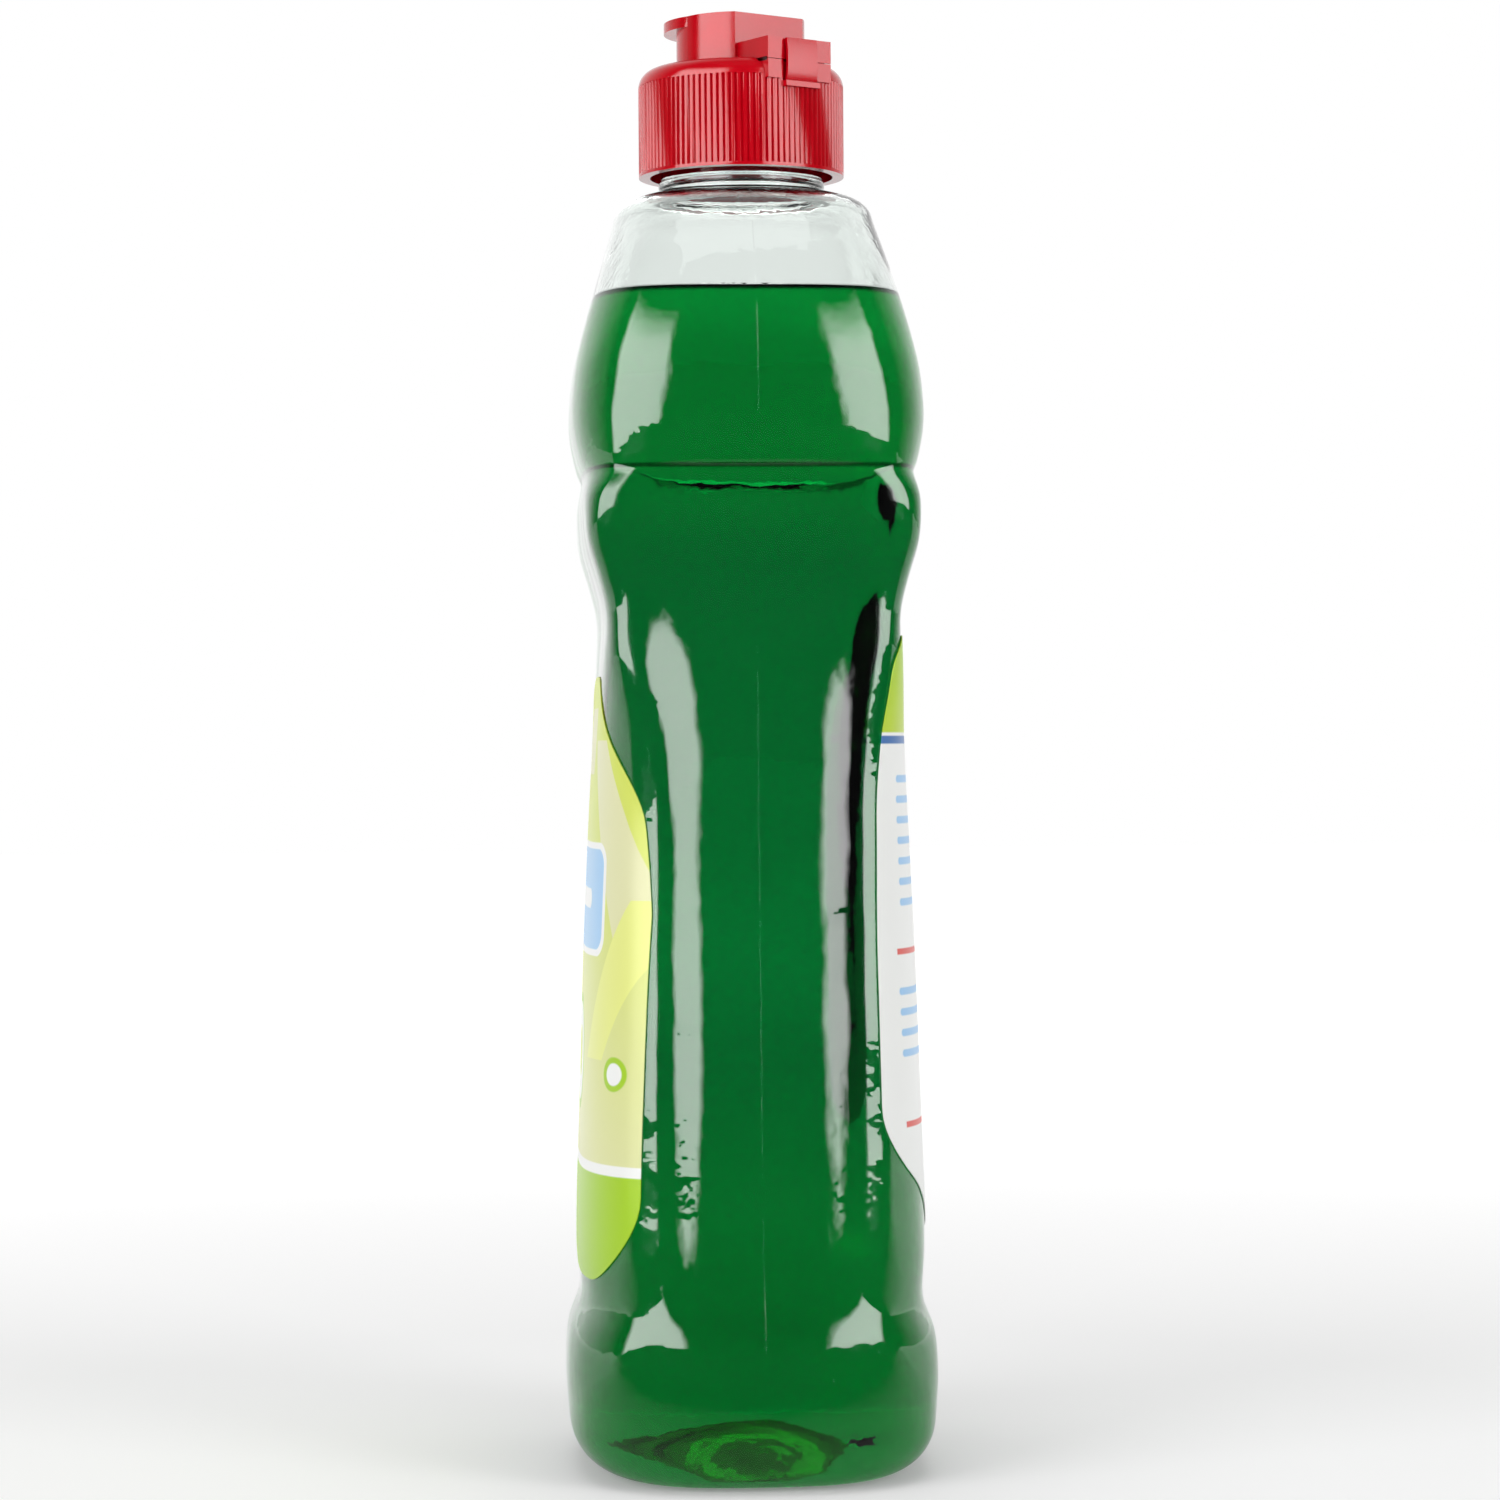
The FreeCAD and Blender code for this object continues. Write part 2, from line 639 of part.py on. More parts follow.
upper_block = box(
    "upper_block",
    ("sizes.lid_flat - sizes.lid_wall / 2", "-sizes.hinge_half_width", UPPER_BLOCK_FOOT),
    ("sizes.hinge_reach", "sizes.hinge_half_width", f"{UPPER_BLOCK_FOOT} + sizes.hinge_block"),
)
upper_film = box(
    "upper_film",
    ("sizes.hinge_reach - sizes.film_hinge", "-sizes.hinge_half_width", f"{HINGE_AXIS} + sizes.film_split / 2"),
    ("sizes.hinge_reach", "sizes.hinge_half_width", UPPER_BLOCK_FOOT),
)
room_round = cylinder("room_round", "sizes.lid_radius - sizes.lid_wall", "sizes.lid_height - sizes.lid_roof",
                      (None, None, LID_FOOT))
room_trim = box(
    "room_trim",
    ("-2 * sizes.lid_radius", "-2 * sizes.lid_radius", LID_FOOT),
    ("sizes.lid_flat - sizes.lid_wall", "2 * sizes.lid_radius", LID_TOP),
)
lid_room = common("lid_room", [room_round, room_trim])
plug = cylinder(
    "plug",
    "sizes.plug_radius",
    f"{LID_TOP} - sizes.lid_roof / 2 - {DECK_TOP} - sizes.nozzle_height + sizes.plug_depth",
    (None, None, f"{DECK_TOP} + sizes.nozzle_height - sizes.plug_depth"),
)
lid_blank = fuse("lid_blank", [lid_block, lid_lip, upper_block, upper_film])
hollow_lid = cut("hollow_lid", lid_blank, lid_room)
lid = fuse("lid", [hollow_lid, plug])


def bowed_strap():
    """The sprung strap beside the film hinge: a thin strip bowed outward between its two ends."""
    axis_height = deck_top - size("hinge_drop") + size("hinge_slit") / 2
    foot = axis_height - size("strap_tail")
    head = axis_height + size("strap_tail")
    inner = size("hinge_reach") + size("strap_gap")
    outer = inner + size("strap_thickness")
    half = size("strap_half_width")
    inside = Part.Arc(
        Vector(inner, -half, foot), Vector(inner + size("strap_bow"), -half, axis_height), Vector(inner, -half, head)
    ).toShape()
    outside = Part.Arc(
        Vector(outer, -half, head), Vector(outer + size("strap_bow"), -half, axis_height), Vector(outer, -half, foot)
    ).toShape()
    top = Part.makeLine(Vector(inner, -half, head), Vector(outer, -half, head))
    bottom = Part.makeLine(Vector(outer, -half, foot), Vector(inner, -half, foot))
    return Part.Face(Part.Wire([inside, top, outside, bottom])).extrude(Vector(0, 2 * half, 0))


hinge_strap = feature("hinge_strap", bowed_strap())

# The closure's pieces stand on the neck, turned so that the hinge is at its azimuth
for piece in (cap, sealing_liner, lid, hinge_strap):
    piece.Placement = FreeCAD.Placement(Vector(0, 0, cap_foot), FreeCAD.Rotation(UP, size("hinge_azimuth")))
for piece in (cap, sealing_liner, lid):
    piece.setExpression("Placement.Base.z", CAP_FOOT)
    piece.setExpression("Placement.Rotation.Angle", "sizes.hinge_azimuth * 1 deg")

PIECES = {
    "bottle": bottle,
    "liquid": liquid,
    "front_label": front_label,
    "back_label": back_label,
    "cap": cap,
    "sealing_liner": sealing_liner,
    "lid": lid,
    "hinge_strap": hinge_strap,
}
for name, piece in PIECES.items():
    piece.Label = name
doc.recompute()

for item in doc.Objects:
    if "Invalid" in item.State or "Error" in item.State:
        raise RuntimeError(f"{item.Label} failed: {item.State}")
for name, piece in PIECES.items():
    if piece.Shape.isNull() or not piece.Shape.isValid():
        raise RuntimeError(f"{name} has no sound shape")
    if len(piece.Shape.Solids) != 1:
        raise RuntimeError(f"{name} is {len(piece.Shape.Solids)} solids, not one")
for name, piece in PIECES.items():
    piece.Shape.exportStep(os.path.join("parts", f"{name}.step"))
    box_of = piece.Shape.BoundBox
    print(f"{name}: volume {piece.Shape.Volume / 1000:.2f} ml, from {box_of.ZMin:.2f} to {box_of.ZMax:.2f}")
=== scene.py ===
"""Dish soap bottle: clear waisted bottle, green detergent, two film labels and a red closure."""
import math

import bmesh
import bpy
from mathutils import Matrix, Quaternion, Vector


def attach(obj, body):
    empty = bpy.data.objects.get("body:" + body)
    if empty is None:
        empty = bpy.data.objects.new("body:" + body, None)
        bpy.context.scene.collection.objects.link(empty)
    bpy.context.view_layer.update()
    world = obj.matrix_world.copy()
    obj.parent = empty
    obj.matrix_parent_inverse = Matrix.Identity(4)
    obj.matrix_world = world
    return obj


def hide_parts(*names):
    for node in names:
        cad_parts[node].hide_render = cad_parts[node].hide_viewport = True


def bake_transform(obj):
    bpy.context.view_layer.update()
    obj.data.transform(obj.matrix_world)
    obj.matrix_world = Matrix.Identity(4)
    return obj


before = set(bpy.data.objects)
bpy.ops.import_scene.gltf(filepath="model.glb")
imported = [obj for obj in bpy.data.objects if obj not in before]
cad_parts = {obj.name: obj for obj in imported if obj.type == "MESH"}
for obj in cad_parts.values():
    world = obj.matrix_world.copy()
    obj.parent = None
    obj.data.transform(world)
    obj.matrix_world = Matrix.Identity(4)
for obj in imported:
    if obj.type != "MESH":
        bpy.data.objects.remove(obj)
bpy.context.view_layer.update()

MM = 0.001

# Levels of the bottle in millimetres, as in the solids: the rise from the level below, the half depth,
# the half width of the front panel's form and of the back panel's, the half width at the narrow side,
# how fast the narrow side's hollow rises beside its flat strip, and how square the section is
LEVELS = {
    "heel": (8.0, 28.3, 35.1, 35.1, 39.0, 0.0, 3.0),
    "base_bulge": (6.7, 28.7, 35.4, 35.4, 39.0, 0.0, 3.0),
    "base_top": (6.3, 28.3, 35.2, 35.2, 38.0, 0.0, 3.0),
    "foot_notch": (6.0, 26.2, 35.6, 35.6, 33.0, 0.01, 3.0),
    "panel_foot": (7.0, 26.6, 34.9, 35.2, 31.2, 0.04, 3.1),
    "panel_low": (21.3, 26.0, 33.8, 34.1, 29.8, 0.065, 3.2),
    "panel_middle": (21.7, 25.3, 32.7, 33.2, 28.6, 0.07, 3.2),
    "panel_high": (23.0, 24.2, 31.4, 32.3, 27.6, 0.07, 3.4),
    "panel_brow": (12.0, 23.4, 31.3, 31.3, 27.2, 0.06, 4.2),
    "panel_top": (12.0, 22.7, 32.6, 30.3, 27.3, 0.03, 7.0),
    "waist": (6.3, 22.3, 34.0, 30.5, 27.8, 0.012, 9.0),
    "grip_low": (6.3, 23.6, 34.8, 31.0, 28.5, 0.004, 9.0),
    "grip": (6.2, 25.3, 35.4, 32.0, 29.2, 0.004, 9.0),
    "grip_high": (6.2, 25.6, 34.4, 33.2, 30.0, 0.004, 7.0),
    "crease": (3.6, 24.9, 32.8, 32.8, 30.1, 0.002, 5.0),
    "chest_foot": (1.4, 25.7, 32.8, 32.8, 32.2, 0.0, 4.4),
    "chest": (7.6, 27.1, 33.0, 33.0, 35.0, 0.0, 3.9),
    "chest_high": (6.2, 26.7, 32.4, 32.4, 38.0, 0.0, 3.7),
    "slope_low": (6.3, 25.4, 30.9, 30.9, 38.0, 0.0, 3.6),
    "slope": (6.2, 23.7, 28.4, 28.4, 38.0, 0.0, 3.5),
    "slope_high": (6.3, 21.9, 25.4, 25.4, 38.0, 0.0, 3.2),
    "shoulder": (5.6, 20.2, 21.6, 21.6, 38.0, 0.0, 2.8),
}
RING_POINTS = 80
ROW_SPACING = 2.2
HEEL_ROWS = 7
RIDGE_SHARPNESS = 30
SIDE_STRIP = 7.5
SIDE_FROM = 0.2
WALL = 0.5
HEEL_INSET = 8.0
BASE_LAND = 3.0
PUSH_UP = 7.0
CROWN_RISE = 4.5
MOUTH_RADIUS = 13.6
LIQUID_LEVEL = 180.2
LIQUID_INSET = 0.53
CAP_LIFT = 3.1

level_heights = []
for level in LEVELS.values():
    level_heights.append(level[0] + (level_heights[-1] if level_heights else 0.0))
SECTIONS = [level[1:] for level in LEVELS.values()]
SHOULDER_TOP = level_heights[-1] + CROWN_RISE
CAP_FOOT = SHOULDER_TOP + CAP_LIFT
HINGE_TURN = math.radians(31.0)


# The bottle's form

def slopes(places, values):
    """Slopes for a smooth curve through the values that never swings past them."""
    steps = [(values[i + 1] - values[i]) / (places[i + 1] - places[i]) for i in range(len(values) - 1)]
    result = [steps[0]]
    for before, after in zip(steps, steps[1:]):
        result.append(2 * before * after / (before + after) if before * after > 0 else 0.0)
    return result + [steps[-1]]


COLUMNS = list(zip(*SECTIONS))
TANGENTS = [slopes(level_heights, column) for column in COLUMNS]


def section_at(index, share):
    """The section a share of the way from one level to the next."""
    span = level_heights[index + 1] - level_heights[index]
    section = []
    for values, tangents in zip(COLUMNS, TANGENTS):
        start = values[index] * (1 + 2 * share) * (1 - share) ** 2
        end = values[index + 1] * share ** 2 * (3 - 2 * share)
        bend = tangents[index] * share * (1 - share) ** 2 - tangents[index + 1] * share ** 2 * (1 - share)
        section.append(start + end + span * bend)
    return section


def reach(section, inset, angle):
    """How far the bottle's skin is from the axis at an angle, drawn in by the inset."""
    depth, front_width, back_width, side, hollow, squareness = section
    across = abs(math.cos(angle))
    along = abs(math.sin(angle))
    width = back_width if math.sin(angle) >= 0 else front_width
    panel = (across / (width - inset)) ** squareness + (along / (depth - inset)) ** squareness
    radius = panel ** (-1 / squareness)
    if across > SIDE_FROM:
        beside = max(0.0, side * along / across - SIDE_STRIP)
        flank = (side - inset + hollow * beside ** 2) / across
        radius = (radius ** -RIDGE_SHARPNESS + flank ** -RIDGE_SHARPNESS) ** (-1 / RIDGE_SHARPNESS)
    return radius


def ring(section, inset, height):
    """One level ring of points in metres."""
    points = []
    for step in range(RING_POINTS):
        angle = 2 * math.pi * step / RING_POINTS
        radius = reach(section, inset, angle)
        points.append(Vector((radius * math.cos(angle), radius * math.sin(angle), height)) * MM)
    return points


def circle(radius, height, count=RING_POINTS):
    turns = [2 * math.pi * step / count for step in range(count)]
    return [Vector((radius * math.cos(turn), radius * math.sin(turn), height)) * MM for turn in turns]


def dome_rings(grow):
    """The hollow of the base, from near its middle out to the land."""
    scales = (0.08, 0.22, 0.38, 0.52, 0.66, 0.78, 0.88, 0.96, 1.0)
    inset = HEEL_INSET + BASE_LAND - grow
    return [
        [Vector((point.x * scale, point.y * scale, (grow + PUSH_UP * (1 - scale ** 2)) * MM))
         for point in ring(SECTIONS[0], inset, 0.0)]
        for scale in scales
    ]


def heel_rings(inset):
    rise = level_heights[0] - inset
    rings = []
    for step in range(HEEL_ROWS):
        turn = math.pi / 2 * (1 - step / HEEL_ROWS)
        drawn_in = inset + (HEEL_INSET - inset) * (1 - math.cos(turn))
        rings.append(ring(SECTIONS[0], drawn_in, inset + rise * (1 - math.sin(turn))))
    return rings


def body_rings(inset, ceiling=None):
    """The rings from the heel to the shoulder, or up to a ceiling, with their heights."""
    rings = []
    for index in range(len(level_heights) - 1):
        rise = level_heights[index + 1] - level_heights[index]
        count = max(2, round(rise / ROW_SPACING))
        for step in range(count):
            height = level_heights[index] + rise * step / count
            if ceiling is None or height < ceiling:
                rings.append(ring(section_at(index, step / count), inset, height))
    return rings


def section_of(height):
    index = max(i for i, level in enumerate(level_heights[:-1]) if level <= height)
    span = level_heights[index + 1] - level_heights[index]
    return section_at(index, (height - level_heights[index]) / span)


def crown_rings(inset):
    mouth = (MOUTH_RADIUS, MOUTH_RADIUS, MOUTH_RADIUS, 2 * MOUTH_RADIUS, 0.0, 2.0)
    rings = []
    for step in range(HEEL_ROWS + 1):
        turn = math.pi / 2 * step / HEEL_ROWS
        share = 1 - math.cos(turn)
        section = [start + (end - start) * share for start, end in zip(SECTIONS[-1], mouth)]
        rings.append(ring(section, inset, level_heights[-1] + (CROWN_RISE - inset) * math.sin(turn)))
    return rings


# Mesh helpers

def finished(name, mesh, body, material, smooth_angle=None):
    """Turn a bmesh into an object of the model, riding on its body."""
    bmesh.ops.recalc_face_normals(mesh, faces=mesh.faces)
    data = bpy.data.meshes.new(name)
    mesh.to_mesh(data)
    mesh.free()
    piece = bpy.data.objects.new(name, data)
    bpy.context.scene.collection.objects.link(piece)
    data.materials.append(material)
    data.shade_smooth()
    if smooth_angle is not None:
        data.set_sharp_from_angle(angle=math.radians(smooth_angle))
    if body:
        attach(piece, body)
    return piece


def lofted(rings):
    """A skin through the rings, each extruded from the last, with a pole at each end."""
    mesh = bmesh.new()
    count = len(rings[0])
    first = bmesh.ops.create_circle(mesh, segments=count, radius=1.0)["verts"]
    for vert, point in zip(first, rings[0]):
        vert.co = point
    places = {vert: step for step, vert in enumerate(first)}
    edges = list(mesh.edges)
    for points in rings[1:]:
        grown = bmesh.ops.extrude_edge_only(mesh, edges=edges)["geom"]
        fresh = [item for item in grown if isinstance(item, bmesh.types.BMVert)]
        edges = [item for item in grown if isinstance(item, bmesh.types.BMEdge)]
        moved = {}
        for vert in fresh:
            below = next(edge.other_vert(vert) for edge in vert.link_edges if edge.other_vert(vert) in places)
            moved[vert] = places[below]
        for vert, step in moved.items():
            vert.co = points[step]
        places = moved
        edges = [edge for edge in edges if edge.verts[0] in moved and edge.verts[1] in moved]
    last = list(places)
    for rim in (first, last):
        middle = sum((vert.co for vert in rim), Vector()) / count
        rim_edges = [edge for edge in mesh.edges if edge.is_boundary and edge.verts[0] in set(rim)]
        grown = bmesh.ops.extrude_edge_only(mesh, edges=rim_edges)["geom"]
        fresh = [item for item in grown if isinstance(item, bmesh.types.BMVert)]
        bmesh.ops.pointmerge(mesh, verts=fresh, merge_co=middle)
    return mesh


def second_material(piece, material, first_row, ceiling):
    """A second material for the faces from one row of the loft on and below a ceiling."""
    piece.data.materials.append(material)
    for face in piece.data.polygons:
        row = min(face.vertices) // RING_POINTS
        if row >= first_row and face.center.z < ceiling * MM:
            face.material_index = 1


def subdivided(piece):
    modifier = piece.modifiers.new("smooth_form", "SUBSURF")
    modifier.levels = 1
    modifier.render_levels = 1


# Materials

def new_material(name):
    material = bpy.data.materials.new(name)
    material.use_nodes = True
    nodes = material.node_tree.nodes
    return material, nodes, material.node_tree.links, nodes["Principled BSDF"]


def add_node(nodes, kind, **settings):
    made = nodes.new(kind)
    for key, value in settings.items():
        if key in made.inputs:
            made.inputs[key].default_value = value
        else:
            setattr(made, key, value)
    return made


def waviness_group():
    """Uneven surface of moulded plastic: a height from a broad and a fine noise."""
    group = bpy.data.node_groups.new("moulded_waviness", "ShaderNodeTree")
    for socket, default in (("Broad", 60.0), ("Fine", 900.0), ("Fine Share", 0.1)):
        group.interface.new_socket(socket, in_out="INPUT", socket_type="NodeSocketFloat").default_value = default
    group.interface.new_socket("Height", in_out="OUTPUT", socket_type="NodeSocketFloat")
    nodes, links = group.nodes, group.links
    entry = nodes.new("NodeGroupInput")
    leave = nodes.new("NodeGroupOutput")
    place = nodes.new("ShaderNodeTexCoord")
    broad = add_node(nodes, "ShaderNodeTexNoise", Detail=1.0)
    fine = add_node(nodes, "ShaderNodeTexNoise", Detail=2.0)
    mix = nodes.new("ShaderNodeMix")
    for noise, socket in ((broad, "Broad"), (fine, "Fine")):
        links.new(place.outputs["Object"], noise.inputs["Vector"])
        links.new(entry.outputs[socket], noise.inputs["Scale"])
    links.new(entry.outputs["Fine Share"], mix.inputs["Factor"])
    links.new(broad.outputs[0], mix.inputs[2])
    links.new(fine.outputs[0], mix.inputs[3])
    links.new(mix.outputs[0], leave.inputs["Height"])
    return group


WAVINESS = waviness_group()


def waviness(nodes, broad, fine, share):
    made = nodes.new("ShaderNodeGroup")
    made.node_tree = WAVINESS
    for socket, value in (("Broad", broad), ("Fine", fine), ("Fine Share", share)):
        made.inputs[socket].default_value = value
    return made


def math_node(nodes, links, operation, first, second=None):
    made = nodes.new("ShaderNodeMath")
    made.operation = operation
    for socket, value in zip(made.inputs, (first, second)):
        if value is None:
            continue
        if isinstance(value, (int, float)):
            socket.default_value = value
        else:
            links.new(value, socket)
    return made.outputs[0]


def map_range(nodes, links, value, low, high, start=0.0, end=1.0, smooth=False):
    """A value carried from one span to another and held at its ends."""
    made = nodes.new("ShaderNodeMapRange")
    if smooth:
        made.interpolation_type = "SMOOTHSTEP"
    for socket, number in (("From Min", low), ("From Max", high), ("To Min", start), ("To Max", end)):
        if isinstance(number, (int, float)):
            made.inputs[socket].default_value = number
        else:
            links.new(number, made.inputs[socket])
    links.new(value, made.inputs["Value"])
    return made.outputs[0]


def mixed_colour(nodes, links, factor, first, second):
    """Two colours, each given plainly or as a socket, mixed by the factor."""
    made = nodes.new("ShaderNodeMix")
    made.data_type = "RGBA"
    links.new(factor, made.inputs["Factor"])
    for socket, value in ((made.inputs[6], first), (made.inputs[7], second)):
        if isinstance(value, tuple):
            socket.default_value = value + (1,)
        else:
            links.new(value, socket)
    return made.outputs[2]


def object_axes(nodes, links):
    """The Object coordinates, in metres, one socket for each axis."""
    place = nodes.new("ShaderNodeTexCoord")
    axes = nodes.new("ShaderNodeSeparateXYZ")
    links.new(place.outputs["Object"], axes.inputs[0])
    return axes.outputs


# The plastic's seam and unevenness, the reach of the painted shade in the crease, the colour ramp's reach with
# its painted light and shade, in metres, and the indices of refraction
CREASE_HEIGHT = 0.1531
CREASE_SHADE_CORE = 0.00015
CREASE_SHADE_EDGE = 0.0005
SEAM_HALF_WIDTH = 0.00022
SEAM_RISE = 0.00005
WAVE_RISE = 0.0011
RAMP_SPAN = 0.2
PLASTIC_INDEX = 1.57
LIQUID_INDEX = 1.37


def clear_plastic(name, index):
    """Clear blown plastic with a fine mould seam down both narrow sides and painted shade in the crease: a dark
    line in its colour.
    """
    material, nodes, links, shader = new_material(name)
    shader.inputs["Roughness"].default_value = 0.0
    shader.inputs["IOR"].default_value = index
    shader.inputs["Transmission Weight"].default_value = 1.0
    axes = object_axes(nodes, links)
    off_seam = math_node(nodes, links, "ABSOLUTE", axes["Y"])
    seam = map_range(nodes, links, off_seam, 0.0, SEAM_HALF_WIDTH, 1.0, 0.0)
    uneven = waviness(nodes, 55.0, 260.0, 0.12)
    wave_height = math_node(nodes, links, "MULTIPLY", uneven.outputs[0], WAVE_RISE)
    seam_height = math_node(nodes, links, "MULTIPLY", seam, SEAM_RISE)
    height = math_node(nodes, links, "ADD", wave_height, seam_height)
    # Painted shade: the colour darkens to a dark line along the crease, where shade would fall
    off_crease = math_node(nodes, links, "SUBTRACT", axes["Z"], CREASE_HEIGHT)
    off_crease = math_node(nodes, links, "ABSOLUTE", off_crease)
    crease = map_range(nodes, links, off_crease, CREASE_SHADE_CORE, CREASE_SHADE_EDGE, 0.75, 0.0, smooth=True)
    colour = mixed_colour(nodes, links, crease, (0.93, 0.965, 0.945), (0.02, 0.08, 0.04))
    links.new(colour, shader.inputs["Base Color"])
    bump = add_node(nodes, "ShaderNodeBump", Strength=0.5, Distance=1.0)
    links.new(height, bump.inputs["Height"])
    links.new(bump.outputs[0], shader.inputs["Normal"])
    return material


def detergent_tint_and_painted_shade(nodes, links):
    """The liquid's colour at the wall, with painted light and shade: painted lighter in the chest and the base,
    darker between, and a painted dark rim of shade just under the surface.
    """
    axes = object_axes(nodes, links)
    # Painted light and shade: the green is lighter in the chest and the base and darker between them
    tint = nodes.new("ShaderNodeValToRGB")
    stops = tint.color_ramp.elements
    stops[0].position = 0.035 / RAMP_SPAN
    stops[0].color = (0.01, 0.56, 0.09, 1)
    stops[1].position = 0.156 / RAMP_SPAN
    stops[1].color = (0.01, 0.56, 0.085, 1)
    for height in (0.06, 0.142):
        stops.new(height / RAMP_SPAN).color = (0.008, 0.37, 0.075, 1)
    links.new(math_node(nodes, links, "DIVIDE", axes["Z"], RAMP_SPAN), tint.inputs[0])
    # Painted shade: a dark rim just under the liquid's surface, in place of the shade at the meniscus
    surface = LIQUID_LEVEL * MM
    rim = map_range(nodes, links, axes["Z"], surface - 0.0011, surface - 0.0006)
    return mixed_colour(nodes, links, rim, tint.outputs[0], (0.0, 0.012, 0.006))


def detergent(name, index, at_wall):
    """Green liquid that takes its colour from the depth that light crosses and a tint at the wall, with painted
    light and shade in that tint.
    """
    material, nodes, links, shader = new_material(name)
    shader.inputs["Base Color"].default_value = (1, 1, 1, 1)
    shader.inputs["Roughness"].default_value = 0.0
    shader.inputs["IOR"].default_value = index
    shader.inputs["Transmission Weight"].default_value = 1.0
    if at_wall:
        links.new(detergent_tint_and_painted_shade(nodes, links), shader.inputs["Base Color"])
    depth_colour = nodes.new("ShaderNodeVolumeAbsorption")
    depth_colour.inputs["Color"].default_value = (0.0, 0.94, 0.93, 1)
    depth_colour.inputs["Density"].default_value = 300.0
    links.new(depth_colour.outputs[0], nodes["Material Output"].inputs["Volume"])
    return material


def red_plastic():
    """Moulded red plastic, glossy with a faint orange-peel."""
    material, nodes, links, shader = new_material("red_plastic")
    shader.inputs["IOR"].default_value = 1.46
    uneven = waviness(nodes, 180.0, 2600.0, 0.35)
    tint = nodes.new("ShaderNodeValToRGB")
    tint.color_ramp.elements[0].position = 0.3
    tint.color_ramp.elements[0].color = (0.50, 0.0, 0.006, 1)
    tint.color_ramp.elements[1].position = 0.7
    tint.color_ramp.elements[1].color = (0.56, 0.001, 0.009, 1)
    links.new(uneven.outputs[0], tint.inputs[0])
    links.new(tint.outputs[0], shader.inputs["Base Color"])
    rough = map_range(nodes, links, uneven.outputs[0], 0.0, 1.0, 0.12, 0.2)
    links.new(rough, shader.inputs["Roughness"])
    bump = add_node(nodes, "ShaderNodeBump", Strength=0.12, Distance=0.0002)
    links.new(uneven.outputs[0], bump.inputs["Height"])
    links.new(bump.outputs[0], shader.inputs["Normal"])
    return material


def liner_foam():
    material, nodes, links, shader = new_material("liner_foam")
    shader.inputs["Roughness"].default_value = 0.8
    uneven = waviness(nodes, 700.0, 3000.0, 0.5)
    tint = nodes.new("ShaderNodeValToRGB")
    tint.color_ramp.elements[0].color = (0.80, 0.80, 0.77, 1)
    tint.color_ramp.elements[1].color = (0.90, 0.90, 0.88, 1)
    links.new(uneven.outputs[0], tint.inputs[0])
    links.new(tint.outputs[0], shader.inputs["Base Color"])
    bump = add_node(nodes, "ShaderNodeBump", Strength=0.3, Distance=0.0002)
    links.new(uneven.outputs[0], bump.inputs["Height"])
    links.new(bump.outputs[0], shader.inputs["Normal"])
    return material


# Strength of the labels' painted glow, seen by rays from inside the bottle in place of light shining through the
# film
FILM_PAINTED_GLOW = 0.4


